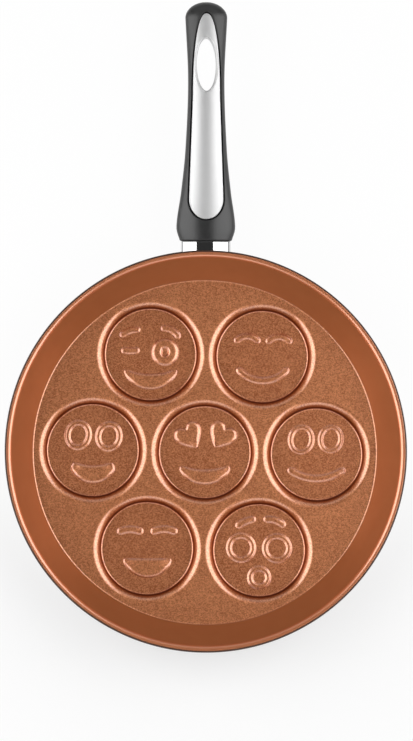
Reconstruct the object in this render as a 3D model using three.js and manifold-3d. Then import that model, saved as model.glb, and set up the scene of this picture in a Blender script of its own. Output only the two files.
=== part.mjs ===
// A round pancake pan: a cast aluminium body with seven face moulds, and a phenolic handle with a
// polished steel inlay, fixed through a flame guard to a bracket on the pan's wall.
// Millimetres, +Z up. The origin is the centre of the base, and the handle points along +Y.

import * as THREE from 'three';
import { mergeVertices } from 'three/addons/utils/BufferGeometryUtils.js';
import Module from 'manifold-3d';

const wasm = await Module();
wasm.setup();

// Driving dimensions: moulds
const MOULD_FLOOR_R = 30.2;      // where the floor and the wall of one mould would meet
const MOULD_DEPTH = 6;           // below the plateau
const MOULD_DRAFT = 9;           // degrees that a mould's wall leans out
const MOULD_CORNER_R = 1.3;      // fillet between floor and wall
const MOULD_LIP_R = 5.8;         // rounding where the wall turns into the plateau
const MOULD_LAND = 1.04;         // plateau left between two neighbouring lips
const MOULD_TURN = -1;           // degrees that the ring of moulds is turned from the handle's line
const FACE_RELIEF = 1.2;         // how far a face stands up from its floor

// Driving dimensions: pan body
const FLOOR_THICKNESS = 4.5;     // below a mould
const PLATEAU_MARGIN = 3.03;     // from the outermost lip to the foot of the wall
const WALL_RISE = 24.5;          // plateau to rim
const WALL_LEAN = 30;            // degrees from upright
const WALL_THICKNESS = 3;
const WALL_FOOT_R = 1.6;         // fillet between plateau and wall
const BASE_CORNER_R = 8;
const BASE_PAD_R = 98;           // turned pad that stands on the hob
const BASE_PAD_STEP = 0.6;       // how far the pad stands down from the casting
const RIM_WIDTH = 3.47;          // across the bead's top
const RIM_DEPTH = 4.4;           // down the outside of the bead
const RIM_INNER_ROUND = 3;
const RIM_OUTER_ROUND = 1.4;
const RIM_UNDER_ROUND = 1;

// Driving dimensions: handle
const HANDLE_LENGTH = 155.8;
const HANDLE_TILT = 4;           // degrees above level
const HANDLE_BELOW_RIM = 11.5;   // middle of the front face, under the rim's top
const HANDLE_ARCH = 3;           // how far the middle bows up
const FRONT_W = 33.6;
const FRONT_TOP = 7.5;           // front face, above its widest line
const FRONT_BOTTOM = 11;         // front face, below its widest line
const SHOULDER_FROM_FRONT = 9;
const SHOULDER_W = 38.4;
const SHOULDER_TOP = 8.5;
const SHOULDER_BOTTOM = 13;
const FLARE_FROM_FRONT = 32;
const FLARE_W = 32.5;
const TAPER_FROM_FRONT = 59;
const TAPER_W = 27.1;
const WAIST_FROM_END = 51.5;
const WAIST_W = 23.7;
const WAIST_TOP = 7;
const WAIST_BOTTOM = 9;
const KNOB_FROM_END = 10.5;      // widest place of the rounded end
const KNOB_W = 27.3;
const KNOB_TOP = 6.5;
const KNOB_BOTTOM = 8.5;
const TOP_CROWN_R = 60;          // gentle curve across the top
const TOP_SQUARENESS = 2.2;      // exponent of the section's upper half: 2 is an ellipse
const BOTTOM_SQUARENESS = 2.4;

// Driving dimensions: inlay and hanging hole
const INLAY_THICKNESS = 1;
const INLAY_FROM_FRONT = 14.2;
const INLAY_FRONT_ROUND = 13.3;  // length of the rounded front
const INLAY_FRONT_W = 22.2;
const INLAY_TIP_FROM_END = 7.9;
const INLAY_TIP_ROUND = 53.5;    // length of the pointed arch
const INLAY_TIP_W = 17.5;
const INLAY_TIP_SQUARENESS = 2.2;
const PEG_R = 1.5;               // pegs that hold the inlay down
const PEG_LENGTH = 4;
const PEG_FROM_FRONT = 56;
const PEG_PITCH = 26;
const HOLE_FROM_END = 41;
const HOLE_W = 12.7;
const HOLE_LENGTH = 34.8;
const COLLAR_WALL = 0.8;         // drawn edge of the inlay that lines the hole
const COLLAR_DEPTH = 11.8;       // below the handle's top at the hole's middle

// Driving dimensions: flame guard, bracket and fasteners
const GUARD_SHOWS = 6.3;         // seen between rim and handle from above
const GUARD_STEP = 0.6;          // guard's surface below the handle's front edge
const GUARD_WALL = 0.8;
const SPIGOT_LENGTH = 3;         // plug on the handle that centres the guard
const FOOT_THICKNESS = 2.5;      // bracket's foot, on the pan's wall
const TANG_W = 10;
const TANG_THICKNESS = 3;
const TANG_REACH = 44;           // into the handle
const TANG_DROP = 0.4;           // below the handle's widest line
const RIVET_R = 2.4;
const RIVET_HEAD_R = 3.3;
const RIVET_HEAD_H = 1.8;
const SCREW_FROM_FRONT = 27;
const SCREW_R = 2.5;
const SCREW_HEAD_R = 4.6;
const SCREW_HEAD_H = 2.6;
const SCREW_CROSS_W = 1.2;       // arms of the driver recess
const SCREW_CROSS_SPAN = 5;
const SCREW_CROSS_DEPTH = 1.8;
const SEAT_WALL = 2.4;           // phenolic between the tang's slot and the screw's seat
const FLAT_WASHER_R = 5;
const FLAT_WASHER_H = 0.8;
const SPRING_WASHER_R = 4.5;
const SPRING_WASHER_H = 1.2;
const SPRING_WASHER_SPLIT = 1;
const NUT_W = 8;
const NUT_H = 4;
const COUNTERBORE_R = 5.8;

// Clearances
const SEAT_GAP = 0.3;            // between pieces that touch on the real object

// Facets
const PAN_SIDES = 60;
const MOULD_SIDES = 30;
const ROUND_SIDES = 16;
const CURVE_STEPS = 8;           // of one curve in a face
const BAR_STEPS = 5;             // along a bar in a face
const BAR_END_STEPS = 4;
const ARC_STEP = 28;             // degrees of one facet on a fillet
const SECTION_SIDES = 28;        // round the handle
const BODY_STATIONS = 18;        // along the handle, shoulder to knob
const END_STATIONS = 6;          // along its rounded end
const INLAY_STEPS = 16;          // round each end of the inlay
const HOLE_STEPS = 12;

// Sizes that follow
const radians = THREE.MathUtils.degToRad;
const CLEAR = 1;                 // how far a cutter runs past what it cuts
const PLATEAU_Z = FLOOR_THICKNESS + MOULD_DEPTH;
const MOULD_TOP_R = MOULD_FLOOR_R + MOULD_DEPTH * Math.tan(radians(MOULD_DRAFT));
const MOULD_MOUTH_R = MOULD_TOP_R + MOULD_LIP_R * Math.tan(radians((90 - MOULD_DRAFT) / 2));
const MOULD_PITCH = 2 * MOULD_MOUTH_R + MOULD_LAND;
const PLATEAU_R = MOULD_PITCH + MOULD_MOUTH_R + PLATEAU_MARGIN;
const RIM_Z = PLATEAU_Z + WALL_RISE;
const RIM_INNER_R = PLATEAU_R + WALL_RISE * Math.tan(radians(WALL_LEAN));
const RIM_R = RIM_INNER_R + RIM_WIDTH;
const GUARD_W = FRONT_W - 2 * GUARD_STEP;
const GUARD_TOP = FRONT_TOP - GUARD_STEP;
const GUARD_BOTTOM = FRONT_BOTTOM - GUARD_STEP;
const HANDLE_FRONT_Y = RIM_R + GUARD_SHOWS + FRONT_TOP * Math.sin(radians(HANDLE_TILT));
const HANDLE_FRONT_Z = RIM_Z - HANDLE_BELOW_RIM;
const KNOB_AT = HANDLE_LENGTH - KNOB_FROM_END;
const WAIST_AT = HANDLE_LENGTH - WAIST_FROM_END;
const HOLE_AT = HANDLE_LENGTH - HOLE_FROM_END;
const INLAY_TIP_AT = HANDLE_LENGTH - INLAY_TIP_FROM_END;
const TANG_TOP = TANG_THICKNESS / 2 - TANG_DROP;
const TANG_UNDER = -TANG_THICKNESS / 2 - TANG_DROP;
const SEAT_Z = TANG_UNDER - SEAT_GAP - SEAT_WALL;
const GUARD_RUN = HANDLE_FRONT_Y - PLATEAU_R;  // handle to inside the pan's wall, before trimming

// Solids

// A closed geometry as a solid, moved by a matrix.
function solid(geometry, matrix = new THREE.Matrix4()) {
  const loose = geometry.index ? geometry.toNonIndexed() : geometry;
  const bare = new THREE.BufferGeometry();
  bare.setAttribute('position', loose.getAttribute('position').clone());
  bare.applyMatrix4(matrix);
  const merged = mergeVertices(bare, 1e-4);
  return new wasm.Manifold(new wasm.Mesh({
    numProp: 3,
    vertProperties: merged.attributes.position.array,
    triVerts: new Uint32Array(merged.index.array),
  }));
}

// A solid back as a geometry.
function geometryOf(made) {
  const mesh = made.getMesh();
  const geometry = new THREE.BufferGeometry();
  geometry.setAttribute('position', new THREE.BufferAttribute(new Float32Array(mesh.vertProperties), 3));
  geometry.setIndex(new THREE.BufferAttribute(new Uint32Array(mesh.triVerts), 1));
  geometry.computeVertexNormals();
  return geometry;
}

// An outline through corners [x, y, radius], each with a radius rounded by an arc.
// Two arcs that would meet on one edge share it.
function rounded(corners) {
  const at = corners.map(([x, y]) => new THREE.Vector2(x, y));
  const bend = corners.map(([, , radius], i) => {
    if (!radius) return { run: 0 };
    const back = at[i - 1].clone().sub(at[i]).normalize();
    const on = at[i + 1].clone().sub(at[i]).normalize();
    const half = Math.acos(back.dot(on)) / 2;
    return { back, on, half, run: radius / Math.tan(half) };
  });
  const share = (i, j) => Math.min(1, at[i].distanceTo(at[j]) / (bend[i].run + bend[j].run || 1));
  return corners.flatMap(([, , radius], i) => {
    if (!radius) return [at[i]];
    const { back, on, half, run } = bend[i];
    const fit = Math.min(share(i - 1, i), share(i, i + 1));
    const r = radius * fit;
    const middle = back.clone().add(on).setLength(r / Math.sin(half)).add(at[i]);
    const start = back.clone().multiplyScalar(run * fit).add(at[i]).sub(middle);
    const end = on.clone().multiplyScalar(run * fit).add(at[i]).sub(middle);
    const sweep = Math.atan2(start.cross(end), start.dot(end));
    const steps = Math.max(1, Math.round(Math.abs(sweep) / radians(ARC_STEP)));
    return Array.from({ length: steps + 1 }, (_, k) =>
      start.clone().rotateAround(new THREE.Vector2(), (sweep * k) / steps).add(middle));
  });
}

// A profile of [radius, height] corners, turned about the Z axis.
function turned(corners, sides) {
  return new THREE.LatheGeometry(rounded(corners), sides).rotateX(Math.PI / 2);
}

// A cylinder along +Z, standing on the height given.
function post(radius, height, z = 0, sides = ROUND_SIDES) {
  return new THREE.CylinderGeometry(radius, radius, height, sides)
    .rotateX(Math.PI / 2).translate(0, 0, z + height / 2);
}

// A box between two corners.
function block(low, high) {
  const size = high.map((v, i) => v - low[i]);
  const middle = high.map((v, i) => (v + low[i]) / 2);
  return new THREE.BoxGeometry(...size).translate(...middle);
}

// A flat shape raised along Z from one height to another.
function raised(shape, low, high, steps = CURVE_STEPS) {
  return new THREE.ExtrudeGeometry(shape, { depth: high - low, bevelEnabled: false, curveSegments: steps })
    .translate(0, 0, low);
}

// A skin over rings of points, closed at both ends.
function lofted(rings) {
  const sides = rings[0].length;
  const points = rings.flat();
  const faces = [];
  for (let r = 0; r < rings.length - 1; r += 1) {
    for (let k = 0; k < sides; k += 1) {
      const a = r * sides + k;
      const b = r * sides + ((k + 1) % sides);
      faces.push(a, a + sides, b, b, a + sides, b + sides);
    }
  }
  [rings[0], rings.at(-1)].forEach((ring, end) => {
    const first = end ? (rings.length - 1) * sides : 0;
    points.push(ring.reduce((sum, p) => sum.add(p), new THREE.Vector3()).divideScalar(sides));
    for (let k = 0; k < sides; k += 1) {
      const pair = [first + k, first + ((k + 1) % sides)];
      faces.push(points.length - 1, ...(end ? pair.reverse() : pair));
    }
  });
  return new THREE.BufferGeometry().setFromPoints(points).setIndex(faces);
}

// A smooth value between knots [position, value].
function through(knots, at) {
  const last = knots.length - 1;
  let i = 0;
  while (i < last - 1 && at > knots[i + 1][0]) i += 1;
  const slope = (k) => {
    const a = knots[Math.max(k - 1, 0)];
    const b = knots[Math.min(k + 1, last)];
    return (b[1] - a[1]) / (b[0] - a[0]);
  };
  const span = knots[i + 1][0] - knots[i][0];
  const u = (at - knots[i][0]) / span;
  const v = 1 - u;
  return knots[i][1] * v * v * (1 + 2 * u) + knots[i + 1][1] * u * u * (1 + 2 * v)
    + span * u * v * (slope(i) * v - slope(i + 1) * u);
}

// Pan body

// Radius of the wall's outer face at a height.
function wallOuterR(z) {
  const lean = radians(WALL_LEAN);
  return PLATEAU_R + (z - PLATEAU_Z) * Math.tan(lean) + WALL_THICKNESS / Math.cos(lean);
}

// The pan's outside, from the base's centre to the rim's top, moved out by a gap.
function outsideCorners(gap = 0) {
  const out = gap / Math.cos(radians(WALL_LEAN));
  const underRim = RIM_Z - RIM_DEPTH;
  return [
    [0, -gap],
    [BASE_PAD_R, -gap],
    [BASE_PAD_R + BASE_PAD_STEP, BASE_PAD_STEP - gap],
    [wallOuterR(BASE_PAD_STEP) + out, BASE_PAD_STEP - gap, BASE_CORNER_R],
    [wallOuterR(underRim) + out, underRim - gap],
    [RIM_R + gap, underRim - gap, RIM_UNDER_ROUND],
    [RIM_R + gap, RIM_Z + gap, RIM_OUTER_ROUND],
  ];
}

function panBlank() {
  return solid(turned([
    ...outsideCorners(),
    [RIM_INNER_R, RIM_Z, RIM_INNER_ROUND],
    [PLATEAU_R, PLATEAU_Z, WALL_FOOT_R],
    [0, PLATEAU_Z],
  ], PAN_SIDES));
}

// The pan's outside filled in, to trim what sits against the wall.
function panEnvelope(gap) {
  return solid(turned([...outsideCorners(gap), [0, RIM_Z + gap]], PAN_SIDES));
}

// The outer wall carried straight up past the rim, filled in and moved out by a gap.
function wallCone(gap) {
  const out = gap / Math.cos(radians(WALL_LEAN));
  return solid(turned([
    [0, 0],
    [wallOuterR(0) + out, 0],
    [wallOuterR(RIM_Z) + out, RIM_Z],
    [0, RIM_Z],
  ], PAN_SIDES));
}

function mouldCutter() {
  return turned([
    [0, FLOOR_THICKNESS],
    [MOULD_FLOOR_R, FLOOR_THICKNESS, MOULD_CORNER_R],
    [MOULD_TOP_R, PLATEAU_Z, MOULD_LIP_R],
    [MOULD_MOUTH_R, PLATEAU_Z],
    [MOULD_MOUTH_R, PLATEAU_Z + CLEAR],
    [0, PLATEAU_Z + CLEAR],
  ], MOULD_SIDES);
}

// Face outlines. They are drawn on a floor of radius 1.

function ellipsePath(path, [x, y], [rx, ry], tilt = 0) {
  return path.absellipse(x, y, rx, ry, 0, 2 * Math.PI, false, radians(tilt));
}

// An oval, with an oval hole when it has an inner size.
function oval({ at, size, inner, tilt = 0 }) {
  const shape = ellipsePath(new THREE.Shape(), at, size, tilt);
  if (inner) shape.holes.push(ellipsePath(new THREE.Path(), at, inner, tilt));
  return shape;
}

// Points along an arc.
function arc(centre, radius, from, to, steps) {
  return Array.from({ length: steps + 1 }, (_, k) => {
    const angle = from + ((to - from) * k) / steps;
    return new THREE.Vector2(Math.cos(angle), Math.sin(angle)).multiplyScalar(radius).add(centre);
  });
}

// A round-ended bar along an arc from one point to another, bulging up or, when negative, down.
function bar({ from, to, bulge, width }) {
  const a = new THREE.Vector2(...from);
  const b = new THREE.Vector2(...to);
  const half = a.distanceTo(b) / 2;
  const r = (half * half + bulge * bulge) / (2 * bulge);
  const up = b.clone().sub(a).normalize().rotateAround(new THREE.Vector2(), Math.PI / 2);
  const centre = a.clone().add(b).multiplyScalar(0.5).addScaledVector(up, bulge - r);
  const angle = (p) => Math.atan2(p.y - centre.y, p.x - centre.x);
  const start = angle(a);
  const end = angle(b);
  const turn = -Math.sign(bulge) * Math.PI;
  const cap = (at, first) => arc(at, width / 2, first, first + turn, BAR_END_STEPS).slice(1, -1);
  return new THREE.Shape([
    ...arc(centre, Math.abs(r) + width / 2, start, end, BAR_STEPS),
    ...cap(b, end),
    ...arc(centre, Math.abs(r) - width / 2, end, start, BAR_STEPS),
    ...cap(a, start + turn),
  ]);
}

// An open mouth: an upper edge that dips, a lower edge that hangs deeper, and ends of some height.
function mouth({ left, right, dip, bottom, end = 0, flare = 0 }) {
  const middle = (left[0] + right[0]) / 2;
  const level = (left[1] + right[1]) / 2;
  const low = level - end;
  const hang = low + (4 / 3) * (bottom - low);
  const inset = 0.62 * ((right[0] - left[0]) / 2 + flare);
  return new THREE.Shape()
    .moveTo(...right)
    .quadraticCurveTo(middle, 2 * dip - level, ...left)
    .lineTo(left[0] - flare, left[1] - end)
    .bezierCurveTo(middle - inset, hang, middle + inset, hang, right[0] + flare, right[1] - end);
}

// A heart standing on its tip, leaning by a tilt.
function heart({ tip, height, tilt }) {
  const origin = new THREE.Vector2();
  const at = (x, y) => new THREE.Vector2(x * height, y * height)
    .rotateAround(origin, radians(tilt)).add(new THREE.Vector2(...tip)).toArray();
  return new THREE.Shape()
    .moveTo(...at(0, 0))
    .bezierCurveTo(...at(0.22, 0.22), ...at(0.53, 0.45), ...at(0.53, 0.70))
    .bezierCurveTo(...at(0.53, 1.06), ...at(0.10, 1.08), ...at(0, 0.81))
    .bezierCurveTo(...at(-0.10, 1.08), ...at(-0.53, 1.06), ...at(-0.53, 0.70))
    .bezierCurveTo(...at(-0.53, 0.45), ...at(-0.22, 0.22), ...at(0, 0));
}

const FACES = {
  wink: [
    bar({ from: [-0.61, 0.43], to: [-0.29, 0.54], bulge: 0.035, width: 0.11 }),
    bar({ from: [-0.57, 0.09], to: [-0.31, 0.09], bulge: -0.005, width: 0.12 }),
    bar({ from: [0.285, 0.57], to: [0.59, 0.41], bulge: 0.05, width: 0.11 }),
    oval({ at: [0.31, 0.06], size: [0.285, 0.285], inner: [0.076, 0.098] }),
    mouth({ left: [-0.56, -0.33], right: [0.56, -0.33], dip: -0.43, bottom: -0.745, end: 0.07 }),
  ],
  grin: [
    bar({ from: [-0.55, 0.355], to: [-0.10, 0.35], bulge: 0.10, width: 0.11 }),
    bar({ from: [0.14, 0.34], to: [0.59, 0.34], bulge: 0.10, width: 0.11 }),
    bar({ from: [-0.495, -0.30], to: [0.52, -0.30], bulge: -0.22, width: 0.12 }),
  ],
  beam: [
    oval({ at: [-0.32, 0.33], size: [0.28, 0.315], inner: [0.183, 0.225], tilt: -10 }),
    oval({ at: [0.345, 0.30], size: [0.28, 0.315], inner: [0.183, 0.225], tilt: -10 }),
    mouth({ left: [-0.41, -0.27], right: [0.41, -0.27], dip: -0.345, bottom: -0.70, end: 0.13, flare: 0.06 }),
  ],
  hearts: [
    heart({ tip: [-0.18, 0.10], height: 0.55, tilt: 31 }),
    heart({ tip: [0.22, 0.11], height: 0.55, tilt: -31 }),
    mouth({ left: [-0.52, -0.30], right: [0.52, -0.30], dip: -0.39, bottom: -0.685, end: 0.07, flare: 0.02 }),
  ],
  content: [
    oval({ at: [-0.33, 0.32], size: [0.275, 0.312], inner: [0.19, 0.24], tilt: -10 }),
    oval({ at: [0.312, 0.33], size: [0.265, 0.30], inner: [0.18, 0.23], tilt: -10 }),
    bar({ from: [-0.555, -0.35], to: [0.555, -0.355], bulge: -0.17, width: 0.13 }),
  ],
  laugh: [
    bar({ from: [-0.575, 0.37], to: [-0.155, 0.37], bulge: 0.04, width: 0.13 }),
    bar({ from: [0.15, 0.37], to: [0.585, 0.37], bulge: 0.045, width: 0.13 }),
    mouth({ left: [-0.495, -0.225], right: [0.51, -0.225], dip: -0.235, bottom: -0.625, end: 0.07 }),
  ],
  wow: [
    bar({ from: [-0.44, 0.54], to: [-0.14, 0.67], bulge: 0.02, width: 0.125 }),
    bar({ from: [0.17, 0.67], to: [0.51, 0.56], bulge: 0.04, width: 0.125 }),
    oval({ at: [-0.39, 0.055], size: [0.31, 0.31], inner: [0.215, 0.215] }),
    oval({ at: [0.39, 0.045], size: [0.31, 0.31], inner: [0.215, 0.215] }),
    oval({ at: [0, -0.59], size: [0.245, 0.245], inner: [0.15, 0.15] }),
  ],
};
const FACE_RING = ['content', 'grin', 'wink', 'beam', 'laugh', 'wow'];

// Where each face's mould is: one in the middle, the others round it from +X.
function mouldPlaces() {
  const ring = FACE_RING.map((face, i) => {
    const angle = radians((360 * i) / FACE_RING.length + MOULD_TURN);
    return { face, x: MOULD_PITCH * Math.cos(angle), y: MOULD_PITCH * Math.sin(angle) };
  });
  return [{ face: 'hearts', x: 0, y: 0 }, ...ring];
}

function panBody() {
  const cutter = mouldCutter();
  let body = panBlank();
  mouldPlaces().forEach(({ face, x, y }) => {
    const place = new THREE.Matrix4().makeTranslation(x, y, 0);
    body = body.subtract(solid(cutter, place));
    FACES[face].forEach((shape) => {
      const relief = raised(shape, FLOOR_THICKNESS - CLEAR, FLOOR_THICKNESS + FACE_RELIEF);
      body = body.add(solid(relief.scale(MOULD_FLOOR_R, MOULD_FLOOR_R, 1), place));
    });
  });
  return body;
}

// Handle. Its own frame starts at the middle of the front face, with +Y along the handle.

const handleFrame = new THREE.Matrix4()
  .makeRotationX(radians(HANDLE_TILT))
  .setPosition(0, HANDLE_FRONT_Y, HANDLE_FRONT_Z);

const WIDTHS = [
  [0, FRONT_W],
  [SHOULDER_FROM_FRONT, SHOULDER_W],
  [FLARE_FROM_FRONT, FLARE_W],
  [TAPER_FROM_FRONT, TAPER_W],
  [WAIST_AT, WAIST_W],
  [KNOB_AT, KNOB_W],
];
const TOPS = [
  [0, FRONT_TOP],
  [SHOULDER_FROM_FRONT, SHOULDER_TOP],
  [WAIST_AT, WAIST_TOP],
  [KNOB_AT, KNOB_TOP],
];
const BOTTOMS = [
  [0, FRONT_BOTTOM],
  [SHOULDER_FROM_FRONT, SHOULDER_BOTTOM],
  [WAIST_AT, WAIST_BOTTOM],
  [KNOB_AT, KNOB_BOTTOM],
];

// One cross-section, a squared-off oval with its own height above and below its widest line.
function section(half, top, bottom, y, lift = 0) {
  return Array.from({ length: SECTION_SIDES }, (_, k) => {
    const angle = (2 * Math.PI * k) / SECTION_SIDES;
    const c = Math.cos(angle);
    const s = Math.sin(angle);
    const power = 2 / (s < 0 ? BOTTOM_SQUARENESS : TOP_SQUARENESS);
    const x = half * Math.sign(c) * Math.abs(c) ** power;
    const rise = s < 0 ? -bottom : top - (x * x) / (2 * TOP_CROWN_R);
    return new THREE.Vector3(x, y, rise * Math.abs(s) ** power + lift);
  });
}

// How far the arch lifts the handle at a place along it.
function archLift(y) {
  const share = y / HANDLE_LENGTH;
  return 4 * HANDLE_ARCH * share * (1 - share);
}

// The handle's cross-section at a place along it. As a cutter its top is lowered by a drop, and its
// underside stands clear of the handle's own.
function gripSection(y, drop) {
  const along = Math.min(y, KNOB_AT);
  const past = Math.max(0, (y - KNOB_AT) / KNOB_FROM_END);
  const end = Math.sqrt(1 - past * past);
  const half = (through(WIDTHS, along) * end) / 2;
  const top = (through(TOPS, along) - drop) * end;
  const bottom = (through(BOTTOMS, along) + (drop ? CLEAR : 0)) * end;
  return section(half, top, bottom, y, archLift(y));
}

function gripBlank(drop = 0) {
  const steps = (count, from, to) => Array.from({ length: count }, (_, k) => from + ((to - from) * k) / count);
  const tail = Array.from({ length: END_STATIONS }, (_, k) => Math.sin((Math.PI / 2) * (k / END_STATIONS)));
  const places = [
    ...steps(3, 0, SHOULDER_FROM_FRONT),
    ...steps(BODY_STATIONS, SHOULDER_FROM_FRONT, KNOB_AT),
    ...[...tail, 0.996].map((u) => KNOB_AT + KNOB_FROM_END * u),
  ];
  return solid(lofted(places.map((y) => gripSection(y, drop))));
}

// A straight run of the flame guard's section, made smaller all round by an inset.
function guardRun(inset, from, to) {
  const ring = (y) => section(GUARD_W / 2 - inset, GUARD_TOP - inset, GUARD_BOTTOM - inset, y);
  return lofted([ring(from), ring(to)]);
}

// The inlay's outline, made larger all round by a growth.
function inlayShape(grow = 0) {
  const front = INLAY_FROM_FRONT + INLAY_FRONT_ROUND;
  const back = INLAY_TIP_AT - INLAY_TIP_ROUND;
  const turnAt = (k) => (Math.PI * k) / INLAY_STEPS;
  const round = Array.from({ length: INLAY_STEPS + 1 }, (_, k) => new THREE.Vector2(
    -(INLAY_FRONT_W / 2 + grow) * Math.cos(turnAt(k)),
    front - (INLAY_FRONT_ROUND + grow) * Math.sin(turnAt(k)),
  ));
  const arch = Array.from({ length: INLAY_STEPS + 1 }, (_, k) => {
    const c = Math.cos(turnAt(k));
    const power = 2 / INLAY_TIP_SQUARENESS;
    return new THREE.Vector2(
      (INLAY_TIP_W / 2 + grow) * Math.sign(c) * Math.abs(c) ** power,
      back + (INLAY_TIP_ROUND + grow) * Math.abs(Math.sin(turnAt(k))) ** power,
    );
  });
  return new THREE.Shape([...round, ...arch]);
}

// The hanging hole's outline, made larger all round by a growth.
function holeShape(grow = 0) {
  return ellipsePath(new THREE.Shape(), [0, HOLE_AT], [HOLE_W / 2 + grow, HOLE_LENGTH / 2 + grow]);
}

// A flat shape raised through the handle, from a height below it unless one is given.
function throughHandle(shape, from = -SHOULDER_BOTTOM - CLEAR) {
  return solid(raised(shape, from, SHOULDER_TOP + HANDLE_ARCH + CLEAR, HOLE_STEPS));
}

// The posts under the inlay, made larger all round by a growth.
function pegs(grow = 0) {
  return [PEG_FROM_FRONT, PEG_FROM_FRONT + PEG_PITCH].map((y) => {
    const top = through(TOPS, y) + archLift(y) - INLAY_THICKNESS / 2;
    const length = PEG_LENGTH + INLAY_THICKNESS / 2 + grow;
    return solid(post(PEG_R + grow, length, top - length, ROUND_SIDES / 2).translate(0, y, 0));
  });
}

function handleInlay() {
  const outer = gripBlank();
  const strip = throughHandle(inlayShape()).intersect(outer).subtract(gripBlank(INLAY_THICKNESS));
  const collarEnd = through(TOPS, HOLE_AT) + archLift(HOLE_AT) - COLLAR_DEPTH;
  const collar = throughHandle(holeShape(COLLAR_WALL), collarEnd).intersect(outer);
  const whole = pegs().reduce((made, peg) => made.add(peg), strip.add(collar));
  return whole.subtract(throughHandle(holeShape()));
}

function handleGrip() {
  const gap = SEAT_GAP;
  const front = -SPIGOT_LENGTH - CLEAR;
  const nutTop = TANG_TOP + gap + NUT_H + gap;
  const screwHole = post(SCREW_R + gap, SEAT_WALL + 2 * CLEAR, SEAT_Z - CLEAR);
  const counterbore = post(COUNTERBORE_R, SHOULDER_BOTTOM, SEAT_Z - SHOULDER_BOTTOM);
  const cuts = [
    throughHandle(inlayShape(gap)).subtract(gripBlank(INLAY_THICKNESS + gap)),
    throughHandle(holeShape(COLLAR_WALL + gap)),
    ...pegs(gap),
    solid(block(
      [-TANG_W / 2 - gap, front, TANG_UNDER - gap],
      [TANG_W / 2 + gap, TANG_REACH + gap, TANG_TOP + gap],
    )),
    solid(block([-NUT_W / 2 - gap, front, TANG_TOP], [NUT_W / 2 + gap, SCREW_FROM_FRONT + NUT_W / 2 + gap, nutTop])),
    solid(screwHole.translate(0, SCREW_FROM_FRONT, 0)),
    solid(counterbore.translate(0, SCREW_FROM_FRONT, 0)),
  ];
  const spigot = solid(guardRun(GUARD_WALL + gap, -SPIGOT_LENGTH, CLEAR));
  return cuts.reduce((made, cut) => made.subtract(cut), gripBlank().add(spigot));
}

// Flame guard, bracket and rivets, in the pan's frame.

function flameGuard() {
  const tube = (inset, past) => solid(guardRun(inset, -GUARD_RUN - past, past - SEAT_GAP), handleFrame);
  return tube(0, 0).subtract(tube(GUARD_WALL, CLEAR)).subtract(panEnvelope(SEAT_GAP));
}

// Where a rivet stands on the wall, on the left or right of the tang.
function rivetFrame(side) {
  const tilt = radians(HANDLE_TILT);
  const lean = radians(WALL_LEAN);
  const startY = HANDLE_FRONT_Y + TANG_DROP * Math.sin(tilt);
  const startZ = HANDLE_FRONT_Z - TANG_DROP * Math.cos(tilt);
  const back = (startY - wallOuterR(startZ)) / (Math.cos(tilt) - Math.tan(lean) * Math.sin(tilt));
  const z = startZ - back * Math.sin(tilt);
  const r = wallOuterR(z);
  const turn = Math.asin((TANG_W / 2 + RIVET_HEAD_R + 2 * SEAT_GAP) / r) * side;
  const out = new THREE.Vector3(
    Math.sin(turn) * Math.cos(lean),
    Math.cos(turn) * Math.cos(lean),
    -Math.sin(lean),
  );
  const at = new THREE.Vector3(r * Math.sin(turn), r * Math.cos(turn), z).addScaledVector(out, SEAT_GAP);
  const facing = new THREE.Quaternion().setFromUnitVectors(new THREE.Vector3(0, 0, 1), out);
  return new THREE.Matrix4().compose(at, facing, new THREE.Vector3(1, 1, 1));
}

function bracketRivet(side) {
  const headZ = FOOT_THICKNESS + SEAT_GAP;
  return solid(turned([
    [0, 0],
    [RIVET_R, 0],
    [RIVET_R, headZ],
    [RIVET_HEAD_R, headZ],
    [RIVET_HEAD_R, headZ + RIVET_HEAD_H, RIVET_HEAD_H],
    [0, headZ + RIVET_HEAD_H],
  ], ROUND_SIDES), rivetFrame(side));
}

function handleBracket() {
  const gap = SEAT_GAP;
  const within = solid(guardRun(GUARD_WALL + gap, -GUARD_RUN, 0), handleFrame);
  const foot = wallCone(gap + FOOT_THICKNESS).intersect(within);
  const tang = solid(block([-TANG_W / 2, -GUARD_RUN, TANG_UNDER], [TANG_W / 2, TANG_REACH, TANG_TOP]), handleFrame);
  const screwHole = post(SCREW_R + gap, TANG_THICKNESS + 2 * CLEAR, TANG_UNDER - CLEAR);
  const cuts = [
    panEnvelope(gap),
    solid(screwHole.translate(0, SCREW_FROM_FRONT, 0), handleFrame),
    ...[-1, 1].map((side) => solid(post(RIVET_R + gap, FOOT_THICKNESS + 2 * CLEAR, -CLEAR), rivetFrame(side))),
  ];
  return cuts.reduce((made, cut) => made.subtract(cut), foot.add(tang));
}

// Screw, washers and nut, on the screw's axis in the handle's frame.

const FLAT_WASHER_Z = SEAT_Z - SEAT_GAP - FLAT_WASHER_H;
const SPRING_WASHER_Z = FLAT_WASHER_Z - SEAT_GAP - SPRING_WASHER_H;
const SCREW_HEAD_Z = SPRING_WASHER_Z - SEAT_GAP - SCREW_HEAD_H;
const NUT_Z = TANG_TOP + SEAT_GAP;

function ring(outer, height, z) {
  return solid(post(outer, height, z)).subtract(solid(post(SCREW_R + SEAT_GAP, height + 2 * CLEAR, z - CLEAR)));
}

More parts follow.
